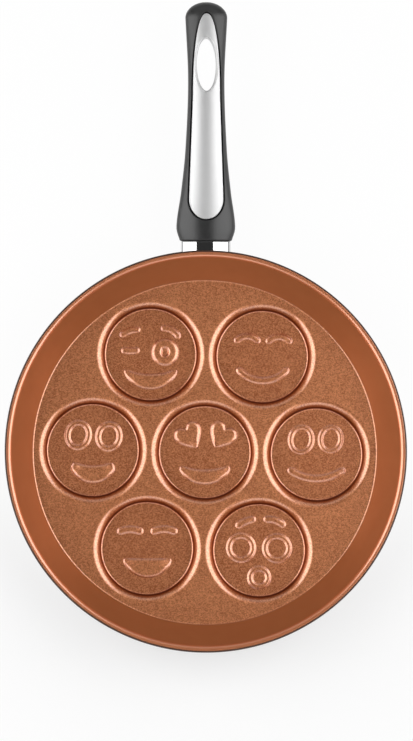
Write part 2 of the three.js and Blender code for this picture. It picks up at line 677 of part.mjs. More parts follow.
function handleScrew() {
  const shank = solid(turned([
    [0, SCREW_HEAD_Z],
    [SCREW_HEAD_R, SCREW_HEAD_Z, SCREW_HEAD_H / 2],
    [SCREW_HEAD_R, SCREW_HEAD_Z + SCREW_HEAD_H],
    [SCREW_R, SCREW_HEAD_Z + SCREW_HEAD_H],
    [SCREW_R, NUT_Z + NUT_H],
    [0, NUT_Z + NUT_H],
  ], ROUND_SIDES));
  const arm = (x, y) => solid(block(
    [-x / 2, -y / 2, SCREW_HEAD_Z - CLEAR],
    [x / 2, y / 2, SCREW_HEAD_Z + SCREW_CROSS_DEPTH],
  ));
  return shank.subtract(arm(SCREW_CROSS_SPAN, SCREW_CROSS_W)).subtract(arm(SCREW_CROSS_W, SCREW_CROSS_SPAN));
}

function flatWasher() {
  return ring(FLAT_WASHER_R, FLAT_WASHER_H, FLAT_WASHER_Z);
}

function springWasher() {
  const split = block(
    [0, -SPRING_WASHER_SPLIT / 2, SPRING_WASHER_Z - CLEAR],
    [SPRING_WASHER_R + CLEAR, SPRING_WASHER_SPLIT / 2, SPRING_WASHER_Z + SPRING_WASHER_H + CLEAR],
  );
  return ring(SPRING_WASHER_R, SPRING_WASHER_H, SPRING_WASHER_Z).subtract(solid(split));
}

function tangNut() {
  const blank = block([-NUT_W / 2, -NUT_W / 2, NUT_Z], [NUT_W / 2, NUT_W / 2, NUT_Z + NUT_H]);
  const bore = post(SCREW_R + SEAT_GAP, NUT_H + 2 * CLEAR, NUT_Z - CLEAR);
  return solid(blank).subtract(solid(bore));
}

// Assembly

const copperCoat = new THREE.MeshStandardMaterial({ color: 0xb4693f, roughness: 0.4, metalness: 0.8 });
const polishedSteel = new THREE.MeshStandardMaterial({ color: 0xd6d6d8, roughness: 0.12, metalness: 1 });
const charcoalPhenolic = new THREE.MeshStandardMaterial({ color: 0x3a3a3c, roughness: 0.55, metalness: 0 });
const plainSteel = new THREE.MeshStandardMaterial({ color: 0xa6a8ab, roughness: 0.4, metalness: 1 });

function piece(name, made, material) {
  const mesh = new THREE.Mesh(geometryOf(made), material);
  mesh.name = name;
  return mesh;
}

const handle = new THREE.Group();
handle.name = 'handle';
handle.position.set(0, HANDLE_FRONT_Y, HANDLE_FRONT_Z);
handle.rotation.x = radians(HANDLE_TILT);
handle.add(
  piece('handle_grip', handleGrip(), charcoalPhenolic),
  piece('handle_inlay', handleInlay(), polishedSteel),
);

const fasteners = new THREE.Group();
fasteners.name = 'fasteners';
fasteners.position.set(0, SCREW_FROM_FRONT, 0);
fasteners.add(
  piece('handle_screw', handleScrew(), plainSteel),
  piece('flat_washer', flatWasher(), plainSteel),
  piece('spring_washer', springWasher(), plainSteel),
  piece('tang_nut', tangNut(), plainSteel),
);
handle.add(fasteners);

const pan = new THREE.Group();
pan.name = 'pancake_pan';
pan.add(
  piece('pan_body', panBody(), copperCoat),
  piece('flame_guard', flameGuard(), polishedSteel),
  piece('handle_bracket', handleBracket(), plainSteel),
  piece('bracket_rivet_left', bracketRivet(-1), plainSteel),
  piece('bracket_rivet_right', bracketRivet(1), plainSteel),
  handle,
);

export default pan;
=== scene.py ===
"""Looks of the pancake pan: finer skins over the CAD frame, materials, light and camera."""

import math

import bmesh
import bpy
from mathutils import Matrix, Vector
from mathutils.geometry import delaunay_2d_cdt, interpolate_bezier


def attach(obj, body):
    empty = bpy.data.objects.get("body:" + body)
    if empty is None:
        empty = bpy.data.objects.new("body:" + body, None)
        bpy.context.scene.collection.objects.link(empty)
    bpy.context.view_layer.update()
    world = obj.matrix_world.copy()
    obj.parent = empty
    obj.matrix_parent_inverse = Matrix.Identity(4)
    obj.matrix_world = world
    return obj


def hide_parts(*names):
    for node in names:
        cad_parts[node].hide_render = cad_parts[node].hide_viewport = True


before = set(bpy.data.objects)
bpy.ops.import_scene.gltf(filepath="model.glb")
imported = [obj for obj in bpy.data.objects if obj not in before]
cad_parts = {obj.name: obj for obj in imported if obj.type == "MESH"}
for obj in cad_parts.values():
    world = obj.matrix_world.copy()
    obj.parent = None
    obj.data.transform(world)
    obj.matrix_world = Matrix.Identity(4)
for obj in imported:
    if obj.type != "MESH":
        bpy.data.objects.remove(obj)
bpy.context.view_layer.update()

MM = 0.001

# Moulds and pan body, in millimetres
MOULD_FLOOR_R = 30.2
MOULD_DEPTH = 6
MOULD_DRAFT = math.radians(9)
MOULD_CORNER_R = 1.3
MOULD_LIP_R = 5.8
MOULD_LAND = 1.04
MOULD_TURN = -1
MOULD_MOUTH_FLAT = 0.06
FACE_RELIEF = 1.2
FLOOR_Z = 4.5
PLATEAU_MARGIN = 3.03
WALL_RISE = 24.5
WALL_LEAN = math.radians(30)
WALL_THICKNESS = 3
WALL_FOOT_R = 1.6
WALL_FOOT_FLAT = 0.15
WALL_TOP_ROUND = 0.8
BASE_CORNER_R = 8
BASE_PAD_R = 98
BASE_PAD_STEP = 0.6
BASE_PAD_EDGE_R = 0.3
TURNING_MARGIN = 1.5
TURNING_PITCH = 3
TURNING_COUNT = 31
TURNING_DEPTH = 0.25
TURNING_SECTION = [(0, 0), (0.7, 0), (1.1, TURNING_DEPTH), (1.9, TURNING_DEPTH), (2.3, 0)]
RIM_WIDTH = 3.47
RIM_DEPTH = 4.4
RIM_INNER_ROUND = 3
RIM_OUTER_ROUND = 1.4
RIM_UNDER_ROUND = 1
COAT_END_R = 128.7
PLATEAU_Z = FLOOR_Z + MOULD_DEPTH
MOULD_TOP_R = MOULD_FLOOR_R + MOULD_DEPTH * math.tan(MOULD_DRAFT)
MOULD_MOUTH_R = MOULD_TOP_R + MOULD_LIP_R * math.tan((math.pi / 2 - MOULD_DRAFT) / 2)
MOULD_PITCH = 2 * MOULD_MOUTH_R + MOULD_LAND
PLATEAU_R = MOULD_PITCH + MOULD_MOUTH_R + PLATEAU_MARGIN
RIM_Z = PLATEAU_Z + WALL_RISE
RIM_INNER_R = PLATEAU_R + WALL_RISE * math.tan(WALL_LEAN)
RIM_R = RIM_INNER_R + RIM_WIDTH

# Order of the pan body's materials
COAT, OUTSIDE, BASE = range(3)

# Raised edges of the faces: places out or in from their outlines, and their shares of narrow room
RELIEF_FOOT = 1.0
RELIEF_TOE = 0.6
RELIEF_TOE_R = 0.3
RELIEF_SHOULDER = 0.8
RELIEF_SHOULDER_R = 4.6
RELIEF_TOP = 2.6
RELIEF_ROOM_USED = 0.4
RELIEF_SIDE_ROOM = 0.3
RELIEF_NARROW_POWER = 0.7
ISLAND_SHARE = 0.3

# Handle
HANDLE_LENGTH = 155.8
HANDLE_TILT = math.radians(4)
HANDLE_BELOW_RIM = 11.5
HANDLE_ARCH = 3
FRONT_W = 33.6
FRONT_TOP = 7.5
FRONT_BOTTOM = 11
FRONT_EDGE_R = 1
KNOB_FROM_END = 10.5
KNOB_AT = HANDLE_LENGTH - KNOB_FROM_END
WAIST_AT = HANDLE_LENGTH - 51.5
WIDTHS = [(0, FRONT_W), (9, 38.4), (32, 32.5), (59, 27.1), (WAIST_AT, 23.7), (KNOB_AT, 27.3)]
TOPS = [(0, FRONT_TOP), (9, 8.5), (WAIST_AT, 7), (KNOB_AT, 6.5)]
BOTTOMS = [(0, FRONT_BOTTOM), (9, 13), (WAIST_AT, 9), (KNOB_AT, 8.5)]
TOP_CROWN_R = 60
TOP_SQUARENESS = 2.2
BOTTOM_SQUARENESS = 2.4
INLAY_THICKNESS = 1
INLAY_FROM = 14.2
INLAY_FRONT_ROUND = 13.3
INLAY_FRONT_W = 22.2
INLAY_TIP = HANDLE_LENGTH - 7.9
INLAY_TIP_ROUND = 53.5
INLAY_TIP_W = 17.5
INLAY_TIP_SQUARENESS = 2.2
INLAY_EDGE_R = 0.35
HOLE_AT = HANDLE_LENGTH - 41
HOLE_W = 12.7
HOLE_LENGTH = 34.8
HOLE_ROLL_R = 1
COLLAR_ROLL_R = 1.1
COLLAR_CREASE = 0.25
COLLAR_CREASE_DEPTH = 0.2
COLLAR_WALL = 0.8
COLLAR_DEPTH = 11.8
GROOVE = 0.9
POCKET_CLEARANCE = 0.6
LIP_R = 0.4
GUARD_SHOWS = 6.3
GUARD_STEP = 0.6
GUARD_WALL = 0.8
GUARD_EDGE_R = 0.3
PIECE_GAP = 0.3
SCREW_AT = 27
COUNTERBORE_R = 5.8
SEAT_Z = -4.6
HANDLE_Y = RIM_R + GUARD_SHOWS + FRONT_TOP * math.sin(HANDLE_TILT)
HANDLE_Z = RIM_Z - HANDLE_BELOW_RIM
HANDLE_FRAME = Matrix.Translation((0, HANDLE_Y, HANDLE_Z)) @ Matrix.Rotation(HANDLE_TILT, 4, "X")

# Fineness of the skins: counts, arc steps in degrees and spacings in millimetres
ARC_STEP = 8
MOULD_ARC_STEP = 4
RELIEF_ARC_STEP = 5
PAN_SIDES = 300
MOULD_SIDES = 160
CURVE_STEPS = 40
OVAL_POINTS = 90
BAR_END_STEPS = 12
MOUTH_END_STEPS = 8
FEWEST_POINTS = 12
OUTLINE_SPACING = 0.4
OUTLINE_WEAR = 8
FAR_POINTS = 4
EVEN_REACH = 3
EVEN_ROUNDS = 6
LIP_STEPS = 6
GRIP_STEP = 2.0
GRIP_STRIPS = 16
GRIP_SAMPLES = 80
GRIP_FRONT_STEPS = 5
GRIP_END_STEPS = 16
INLAY_STEP = 1.5
INLAY_STRIPS = 14
INLAY_FRONT_STEPS = 24
INLAY_TIP_STEPS = 50
HOLE_STEPS = 40
BORE_STEPS = 28
PLACES_APART = 0.2
GUARD_POINTS = 40
GUARD_SAMPLES = 120
GUARD_EDGE_STEPS = 4
GUARD_SHARES = (0.1, 0.3, 0.6, 0.9, 1)
SEARCH_BACK = 60.0
SEARCH_ROUNDS = 40
TINY = 1e-6

# Joining of the meshes: the fill in millimetres, welds and slivers in metres
FILL_INSIDE = 1
FILL_TOLERANCE = 1e-5
WELD = 2e-6
SLIVER = 1e-7


# Outlines and skins

def rounded(corners, step=ARC_STEP):
    """An outline through (x, y, radius) corners, each with a radius rounded by an arc."""
    at = [Vector(corner[:2]) for corner in corners]
    points = []
    for i, corner in enumerate(corners):
        if len(corner) < 3:
            points.append(at[i])
            continue
        radius = corner[2]
        back = (at[i - 1] - at[i]).normalized()
        on = (at[i + 1] - at[i]).normalized()
        half = math.acos(back.dot(on)) / 2
        run = radius / math.tan(half)
        middle = at[i] + (back + on).normalized() * (radius / math.sin(half))
        start = at[i] + back * run - middle
        end = at[i] + on * run - middle
        sweep = math.atan2(start.x * end.y - start.y * end.x, start.dot(end))
        steps = max(1, round(abs(sweep) / math.radians(step)))
        points += [middle + Matrix.Rotation(sweep * k / steps, 2) @ start for k in range(steps + 1)]
    return points


def bezier(a, b, c, d, steps=CURVE_STEPS):
    """A curve between two points, without the last one."""
    return interpolate_bezier(*(Vector((*p, 0)) for p in (a, b, c, d)), steps)[:-1]


def spaced(points, spacing):
    """A closed outline with its points at even distances."""
    loop = [Vector(p[:2]) for p in points]
    lengths = [(loop[(i + 1) % len(loop)] - p).length for i, p in enumerate(loop)]
    count = max(FEWEST_POINTS, round(sum(lengths) / spacing))
    step = sum(lengths) / count
    out, i, passed = [], 0, 0.0
    for k in range(count):
        while i < len(loop) - 1 and passed + lengths[i] < k * step:
            passed += lengths[i]
            i += 1
        share = (k * step - passed) / lengths[i] if lengths[i] else 0
        out.append(loop[i].lerp(loop[(i + 1) % len(loop)], min(1, share)))
    return out


def softened(loop, rounds):
    """A closed outline with its corners worn round."""
    for _ in range(rounds):
        loop = [(loop[i - 1] + 2 * p + loop[(i + 1) % len(loop)]) / 4 for i, p in enumerate(loop)]
    return loop


def outward(loop):
    """The outward direction at each point of a counter-clockwise outline."""
    out = []
    for i in range(len(loop)):
        along = loop[(i + 1) % len(loop)] - loop[i - 1]
        out.append(Vector((along.y, -along.x)).normalized())
    return out


def circle(radius, count, centre=(0, 0)):
    turn = 2 * math.pi / count
    return [Vector((centre[0] + radius * math.cos(k * turn), centre[1] + radius * math.sin(k * turn)))
            for k in range(count)]


class Skin:
    """Points and faces of one closed mesh, in millimetres."""

    def __init__(self):
        self.points = []
        self.faces = []
        self.finish = []

    def loop(self, points):
        self.points += [tuple(p) for p in points]
        return list(range(len(self.points) - len(points), len(self.points)))

    def face(self, corners, finish):
        self.faces.append(corners)
        self.finish.append(finish)

    def bridge(self, a, b, finish=0, closed=True):
        for k in range(len(a) - (0 if closed else 1)):
            n = (k + 1) % len(a)
            self.face((a[k], a[n], b[n], b[k]), finish)

    def turned(self, profile, count, centre=(0, 0), finish=0):
        """Rings about an upright axis. Gives back the first and the last."""
        rings = [self.loop([(*p, z) for p in circle(r, count, centre)]) for r, z in profile]
        for a, b in zip(rings, rings[1:]):
            self.bridge(a, b, finish)
        return rings[0], rings[-1]

    def fill(self, outer, holes=(), finish=0):
        """A level patch inside one loop and outside the others."""
        loops = [outer, *holes]
        index = [i for loop in loops for i in loop]
        bounds, start = [], 0
        for loop in loops:
            bounds.append(list(range(start, start + len(loop))))
            start += len(loop)
        flat = [Vector(self.points[i][:2]) for i in index]
        _, _, triangles, origin, _, inside = delaunay_2d_cdt(flat, [], bounds, FILL_INSIDE, FILL_TOLERANCE)
        for triangle, within in zip(triangles, inside):
            if list(within) == [0]:
                self.face([index[origin[v][0]] for v in triangle], finish)

    def make(self, name, finishes, place=Matrix()):
        mesh = bpy.data.meshes.new(name)
        mesh.from_pydata([place @ Vector(p) * MM for p in self.points], [], self.faces)
        for material in finishes:
            mesh.materials.append(material)
        mesh.polygons.foreach_set("material_index", self.finish)
        work = bmesh.new()
        work.from_mesh(mesh)
        bmesh.ops.remove_doubles(work, verts=work.verts, dist=WELD)
        bmesh.ops.dissolve_degenerate(work, edges=work.edges, dist=SLIVER)
        bmesh.ops.recalc_face_normals(work, faces=work.faces)
        for part in work.faces:
            part.smooth = True
        work.to_mesh(mesh)
        work.free()
        made = bpy.data.objects.new(name, mesh)
        bpy.context.collection.objects.link(made)
        return made


# Faces, drawn on a floor of radius 1

MOUTH_FULLNESS = 0.62


def oval(at, size, inner=None, tilt=0):
    """A disc, or a ring where an inner size is given."""
    def path(rx, ry):
        turn = Matrix.Rotation(math.radians(tilt), 2)
        return [Vector(at) + turn @ Vector((rx * p.x, ry * p.y)) for p in circle(1, OVAL_POINTS)]
    return [path(*size)] + ([path(*inner)] if inner else [])


def bar(start, end, bulge, width):
    """A bent bar with round ends, whose middle stands above or below them by the bulge."""
    a, b = Vector(start), Vector(end)
    half = (b - a).length / 2
    r = (half * half + bulge * bulge) / (2 * bulge)
    up = Vector((-(b - a).y, (b - a).x)).normalized()
    centre = (a + b) / 2 + up * (bulge - r)
    first = math.atan2(*(a - centre).yx)
    last = math.atan2(*(b - centre).yx)
    turn = -math.copysign(math.pi, bulge)

    def arc(middle, radius, begin, finish, steps):
        angles = [begin + (finish - begin) * k / steps for k in range(steps)]
        return [middle + radius * Vector((math.cos(t), math.sin(t))) for t in angles]
    return [arc(centre, abs(r) + width / 2, first, last, CURVE_STEPS)
            + arc(b, width / 2, last, last + turn, BAR_END_STEPS)
            + arc(centre, abs(r) - width / 2, last, first, CURVE_STEPS)
            + arc(a, width / 2, first + turn, first + 2 * turn, BAR_END_STEPS)]


def mouth(left, right, dip, bottom, end=0, flare=0):
    """An open mouth between two corners, with a dip in its upper edge and a round bottom."""
    middle, level = (left[0] + right[0]) / 2, (left[1] + right[1]) / 2
    low = level - end
    # The lower curve's middle lies three quarters of the way to its control points
    hang = low + 4 / 3 * (bottom - low)
    inset = MOUTH_FULLNESS * ((right[0] - left[0]) / 2 + flare)
    control = Vector((middle, 2 * dip - level))
    upper = [Vector(p).lerp(control, 2 / 3) for p in (right, left)]
    a, b = (left[0] - flare, left[1] - end), (right[0] + flare, right[1] - end)
    return [bezier(right, *upper, left)
            + bezier(left, left, a, a, MOUTH_END_STEPS)
            + bezier(a, (middle - inset, hang), (middle + inset, hang), b)
            + bezier(b, b, right, right, MOUTH_END_STEPS)]


def heart(tip, height, tilt):
    """A heart that stands on its tip."""
    turn = Matrix.Rotation(math.radians(tilt), 2)

    def at(x, y):
        return Vector(tip) + turn @ Vector((x, y)) * height
    side = [(0, 0), (0.22, 0.22), (0.53, 0.45), (0.53, 0.70), (0.53, 1.06), (0.10, 1.08), (0, 0.81)]
    right = [at(x, y) for x, y in side]
    left = [at(-x, y) for x, y in side[::-1]]
    return [bezier(*right[0:4]) + bezier(*right[3:7]) + bezier(*left[0:4]) + bezier(*left[3:7])]


FACES = {
    "wink": [
        bar((-0.61, 0.43), (-0.29, 0.54), 0.035, 0.11),
        bar((-0.57, 0.09), (-0.31, 0.09), -0.005, 0.12),
        bar((0.285, 0.57), (0.59, 0.41), 0.05, 0.11),
        oval((0.31, 0.06), (0.285, 0.285), (0.076, 0.098)),
        mouth((-0.56, -0.33), (0.56, -0.33), -0.43, -0.745, 0.07),
    ],
    "grin": [
        bar((-0.55, 0.355), (-0.10, 0.35), 0.10, 0.11),
        bar((0.14, 0.34), (0.59, 0.34), 0.10, 0.11),
        bar((-0.495, -0.30), (0.52, -0.30), -0.22, 0.12),
    ],
    "beam": [
        oval((-0.32, 0.33), (0.28, 0.315), (0.183, 0.225), -10),
        oval((0.345, 0.30), (0.28, 0.315), (0.183, 0.225), -10),
        mouth((-0.41, -0.27), (0.41, -0.27), -0.345, -0.70, 0.13, 0.06),
    ],
    "hearts": [
        heart((-0.18, 0.10), 0.55, 31),
        heart((0.22, 0.11), 0.55, -31),
        mouth((-0.52, -0.30), (0.52, -0.30), -0.39, -0.685, 0.07, 0.02),
    ],
    "content": [
        oval((-0.33, 0.32), (0.275, 0.312), (0.19, 0.24), -10),
        oval((0.312, 0.33), (0.265, 0.30), (0.18, 0.23), -10),
        bar((-0.555, -0.35), (0.555, -0.355), -0.17, 0.13),
    ],
    "laugh": [
        bar((-0.575, 0.37), (-0.155, 0.37), 0.04, 0.13),
        bar((0.15, 0.37), (0.585, 0.37), 0.045, 0.13),
        mouth((-0.495, -0.225), (0.51, -0.225), -0.235, -0.625, 0.07),
    ],
    "wow": [
        bar((-0.44, 0.54), (-0.14, 0.67), 0.02, 0.125),
        bar((0.17, 0.67), (0.51, 0.56), 0.04, 0.125),
        oval((-0.39, 0.055), (0.31, 0.31), (0.215, 0.215)),
        oval((0.39, 0.045), (0.31, 0.31), (0.215, 0.215)),
        oval((0.0, -0.59), (0.245, 0.245), (0.15, 0.15)),
    ],
}
FACE_MIDDLE = "hearts"
FACE_RING = ["content", "grin", "wink", "beam", "laugh", "wow"]


# Pan body

RELIEF_EDGE = rounded([
    (RELIEF_FOOT, 0),
    (RELIEF_TOE, 0, RELIEF_TOE_R),
    (-RELIEF_SHOULDER, FACE_RELIEF, RELIEF_SHOULDER_R),
    (-RELIEF_TOP, FACE_RELIEF),
], RELIEF_ARC_STEP)


def clearances(loop, directions, reach, others):
    """How far each point can move before it meets an outline again, as a share of a reach."""
    count = len(loop)
    shares = []
    for i, p in enumerate(loop):
        way = directions[i]
        before, after = loop[i - 1] - p, loop[(i + 1) % count] - p
        bend = (before + after).dot(way) / (before.length * after.length)
        nearest = 2 / bend if bend > 0 else math.inf
        far = [q for j, q in enumerate(loop) if min((j - i) % count, (i - j) % count) >= FAR_POINTS]
        for q in far + others:
            ahead = (q - p).dot(way)
            aside = abs((q - p).x * way.y - (q - p).y * way.x)
            if ahead > 0 and aside < ahead + RELIEF_SIDE_ROOM:
                nearest = min(nearest, (q - p).length)
        shares.append(min(1, RELIEF_ROOM_USED * nearest / reach))
    near = range(-EVEN_REACH, EVEN_REACH + 1)
    shares = [min(shares[(i + k) % count] for k in near) for i in range(count)]
    for _ in range(EVEN_ROUNDS):
        shares = [(shares[i - 1] + 2 * s + shares[(i + 1) % count]) / 4 for i, s in enumerate(shares)]
    return shares


def full_size(paths):
    """A feature's outlines in millimetres, the outer one first."""
    outlines = []
    for path in paths:
        loop = spaced([Vector(p[:2]) * MOULD_FLOOR_R for p in path], OUTLINE_SPACING)
        loop = softened(loop, OUTLINE_WEAR)
        area = sum(loop[i - 1].x * p.y - loop[i - 1].y * p.x for i, p in enumerate(loop))
        outlines.append(loop if area > 0 else loop[::-1])
    return outlines


def relief(skin, outlines, neighbours, centre):
    """One raised feature. Gives back the loops of its foot, the outer one first."""
    feet, tops = [], []
    for k, loop in enumerate(outlines):
        normals = [n * (-1 if k else 1) for n in outward(loop)]
        others = [p for other in outlines if other is not loop for p in other]
        grown = clearances(loop, normals, RELIEF_FOOT, [] if k else neighbours)
        shrunk = clearances(loop, [-n for n in normals], RELIEF_TOP, others)
        stands = [share ** RELIEF_NARROW_POWER for share in shrunk]
        if k:
            across = max((p - q).length for p in loop for q in loop)
            shrunk = [min(share, ISLAND_SHARE * across / RELIEF_TOP) for share in shrunk]
        rings = []
        for out, height in RELIEF_EDGE:
            room = grown if out > 0 else shrunk
            moved = [p + n * out * share for p, n, share in zip(loop, normals, room)]
            rings.append(skin.loop([(centre[0] + p.x, centre[1] + p.y, FLOOR_Z + height * stand)
                                    for p, stand in zip(moved, stands)]))
        for a, b in zip(rings, rings[1:]):
            skin.bridge(a, b)
        feet.append(rings[0])
        tops.append(rings[-1])
    skin.fill(tops[0], tops[1:])
    return feet


def wall_outer_r(z):
    """Radius of the wall's outside at a height."""
    return PLATEAU_R + (z - PLATEAU_Z) * math.tan(WALL_LEAN) + WALL_THICKNESS / math.cos(WALL_LEAN)


def mould_places():
    """The face in each mould and the mould's centre."""
    places = [(FACE_MIDDLE, (0, 0))]
    for i, face in enumerate(FACE_RING):
        angle = math.radians(360 / len(FACE_RING) * i + MOULD_TURN)
        places.append((face, (MOULD_PITCH * math.cos(angle), MOULD_PITCH * math.sin(angle))))
    return places


def mould(skin, face, centre):
    """One mould with its raised face. Gives back the loop of its mouth."""
    profile = rounded([
        (MOULD_MOUTH_R + MOULD_MOUTH_FLAT, PLATEAU_Z),
        (MOULD_TOP_R, PLATEAU_Z, MOULD_LIP_R),
        (MOULD_FLOOR_R, FLOOR_Z, MOULD_CORNER_R),
        (MOULD_FLOOR_R - MOULD_CORNER_R, FLOOR_Z),
    ], MOULD_ARC_STEP)
    mouth_ring, floor_ring = skin.turned(profile, MOULD_SIDES, centre)
    features = [full_size(paths) for paths in FACES[face]]
    feet = []
    for outlines in features:
        neighbours = [p for other in features if other is not outlines for p in other[0]]
        feet.append(relief(skin, outlines, neighbours, centre))
    for foot in feet:
        for island in foot[1:]:
            skin.fill(island)
    skin.fill(floor_ring, [foot[0] for foot in feet])
    return mouth_ring


def pan_body(coat, outside, base):
    skin = Skin()
    under_rim = RIM_Z - RIM_DEPTH
    foot_run = WALL_FOOT_R * math.tan((math.pi / 2 - WALL_LEAN) / 2)
    profile = rounded([
        (PLATEAU_R - foot_run - WALL_FOOT_FLAT, PLATEAU_Z),
        (PLATEAU_R, PLATEAU_Z, WALL_FOOT_R),
        (RIM_INNER_R, RIM_Z, RIM_INNER_ROUND),
        (RIM_R, RIM_Z, RIM_OUTER_ROUND),
        (RIM_R, under_rim, RIM_UNDER_ROUND),
        (wall_outer_r(under_rim), under_rim, WALL_TOP_ROUND),
        (wall_outer_r(BASE_PAD_STEP), BASE_PAD_STEP, BASE_CORNER_R),
        (BASE_PAD_R + BASE_PAD_STEP, BASE_PAD_STEP, BASE_PAD_EDGE_R),
        (BASE_PAD_R, 0, BASE_PAD_EDGE_R),
        (BASE_PAD_R - TURNING_MARGIN, 0),
    ])
    coat_end = next(i for i, p in enumerate(profile) if p[0] > COAT_END_R)
    turning = [(BASE_PAD_R - TURNING_MARGIN - TURNING_PITCH * k - inward, depth)
               for k in range(TURNING_COUNT) for inward, depth in TURNING_SECTION]
    plateau, _ = skin.turned(profile[:coat_end + 1], PAN_SIDES, finish=COAT)
    skin.turned(profile[coat_end:], PAN_SIDES, finish=OUTSIDE)
    _, centre = skin.turned(turning, PAN_SIDES, finish=BASE)
    skin.fill(centre, finish=BASE)
    skin.fill(plateau, [mould(skin, face, at) for face, at in mould_places()])
    return skin.make("pan_body_looks", [coat, outside, base])


# Handle

def through(knots, at):
    """A smooth curve through (place, value) knots."""
    last = len(knots) - 1
    i = 0
    while i < last - 1 and at > knots[i + 1][0]:
        i += 1

    def slope(k):
        a, b = knots[max(k - 1, 0)], knots[min(k + 1, last)]
        return (b[1] - a[1]) / (b[0] - a[0])
    span = knots[i + 1][0] - knots[i][0]
    u = (at - knots[i][0]) / span
    v = 1 - u
    return (knots[i][1] * v * v * (1 + 2 * u) + knots[i + 1][1] * u * u * (1 + 2 * v)
            + span * u * v * (slope(i) * v - slope(i + 1) * u))


def arch_lift(y):
    """How far the grip's arch lifts it at a place along it."""
    share = y / HANDLE_LENGTH
    return 4 * HANDLE_ARCH * share * (1 - share)


def superellipse(upper, half, rise, angle):
    """A point of a quarter section, from the side at angle 0 to the crown or keel."""
    power = 2 / (TOP_SQUARENESS if upper else BOTTOM_SQUARENESS)
    x = half * max(0, math.cos(angle)) ** power
    drop = x * x / (2 * TOP_CROWN_R) if upper else 0
    return x, (1 if upper else -1) * (rise - drop) * math.sin(angle) ** power


def grip_size(y):
    """Half width, height above and depth below the middle line at a place along the grip."""
    along = min(y, KNOB_AT)
    past = max(0, (y - KNOB_AT) / KNOB_FROM_END)
    end = math.sqrt(max(0, 1 - past * past))
    back = max(0, FRONT_EDGE_R - y)
    ease = FRONT_EDGE_R - math.sqrt(FRONT_EDGE_R ** 2 - back ** 2)
    return (through(WIDTHS, along) * end / 2 - ease, through(TOPS, along) * end - ease,
            through(BOTTOMS, along) * end - ease)


def crown(x, y):
    """Height of the grip's top over a point in plan."""
    half, top, _ = grip_size(y)
    angle = math.acos(min(1, (abs(x) / half) ** (TOP_SQUARENESS / 2)))
    return superellipse(True, half, top, angle)[1] + arch_lift(y)


def inlay_half(y, grow):
    """Half the inlay's width at a place along the grip, grown all round."""
    front = INLAY_FROM + INLAY_FRONT_ROUND
    back = INLAY_TIP - INLAY_TIP_ROUND
    front_half, back_half = INLAY_FRONT_W / 2 + grow, INLAY_TIP_W / 2 + grow
    if y < front:
        u = min(1, (front - y) / (INLAY_FRONT_ROUND + grow))
        return front_half * math.sqrt(1 - u * u)
    if y > back:
        u = min(1, (y - back) / (INLAY_TIP_ROUND + grow))
        return back_half * (1 - u ** INLAY_TIP_SQUARENESS) ** (1 / INLAY_TIP_SQUARENESS)
    return front_half + (back_half - front_half) * (y - front) / (back - front)


def ellipse_half(y, at, half, reach):
    """Half an oval's width at a place along the grip."""
    u = min(1, abs(y - at) / reach)
    return half * math.sqrt(1 - u * u)


def hole_half(y, grow):
    return ellipse_half(y, HOLE_AT, HOLE_W / 2 + grow, HOLE_LENGTH / 2 + grow)


def bore_half(y, grow):
    return ellipse_half(y, SCREW_AT, COUNTERBORE_R + grow, COUNTERBORE_R + grow)


def both_ends(at, reach):
    return at - reach, at + reach


def quarter_turn(steps):
    """Angles from 0 to a right angle."""
    return [math.pi / 2 * k / steps for k in range(steps + 1)]


def round_places(at, reach, steps):
    """Places along the grip that step evenly round an oval."""
    return [at - reach * math.cos(math.pi * k / steps) for k in range(steps + 1)]


def inlay_places(grow):
    """Places along the grip that step evenly round the inlay's two ends."""
    front = INLAY_FROM + INLAY_FRONT_ROUND
    back = INLAY_TIP - INLAY_TIP_ROUND
    power = 2 / INLAY_TIP_SQUARENESS
    return ([front - (INLAY_FRONT_ROUND + grow) * math.cos(t) for t in quarter_turn(INLAY_FRONT_STEPS)]
            + [back + (INLAY_TIP_ROUND + grow) * math.sin(t) ** power
               for t in quarter_turn(INLAY_TIP_STEPS)])


def merged(kept, *others):
    """Places along the handle in order, without those that fall on top of another."""
    places = sorted(kept)
    for group in others:
        for y in group:
            if all(abs(y - other) > PLACES_APART for other in places):
                places.append(y)
    return sorted(places)


def even(points, count):
    """A line of points at even distances along another."""
    lengths = [0]
    for a, b in zip(points, points[1:]):
        lengths.append(lengths[-1] + (b - a).length)
    out, i = [], 0
    for k in range(count):
        want = lengths[-1] * k / (count - 1)
        while i < len(points) - 2 and lengths[i + 1] < want:
            i += 1
        step = lengths[i + 1] - lengths[i]
        out.append(points[i].lerp(points[i + 1], min(1, (want - lengths[i]) / step) if step else 0))
    return out


def grip_quarter(y, upper, edge):
    """Points over the grip from its side to an opening's edge, on the right."""
    half, top, bottom = grip_size(y)
    rise = top if upper else bottom
    square = TOP_SQUARENESS if upper else BOTTOM_SQUARENESS
    stop = math.acos(min(1, (edge / half) ** (square / 2))) if half > TINY else math.pi / 2
    dense = [superellipse(upper, half, rise, stop * k / GRIP_SAMPLES) for k in range(GRIP_SAMPLES + 1)]
    return even([Vector((x, y, z + arch_lift(y))) for x, z in dense], GRIP_STRIPS)


def mirrored(p):
    return Vector((-p[0], p[1], p[2]))


def all_round(top, bottom):
    """A whole section from its quarters on the right, each from the side to the middle."""
    return [*top, *[mirrored(p) for p in top[-2::-1]],
            *[mirrored(p) for p in bottom[1:]], *bottom[-2:0:-1]]


def lay_strips(skin, rows):
    """Both sides of a surface, from rows of points on the right."""
    for flip in (False, True):
        loops = [skin.loop([mirrored(p) if flip else p for p in row]) for row in rows]
        for a, b in zip(loops, loops[1:]):
            skin.bridge(a, b, closed=False)


def edge_points(places, rows, ends):
    """The last point of each row between two places along the grip."""
    first, last = ends
    return [row[-1] for y, row in zip(places, rows) if first - TINY <= y <= last + TINY]


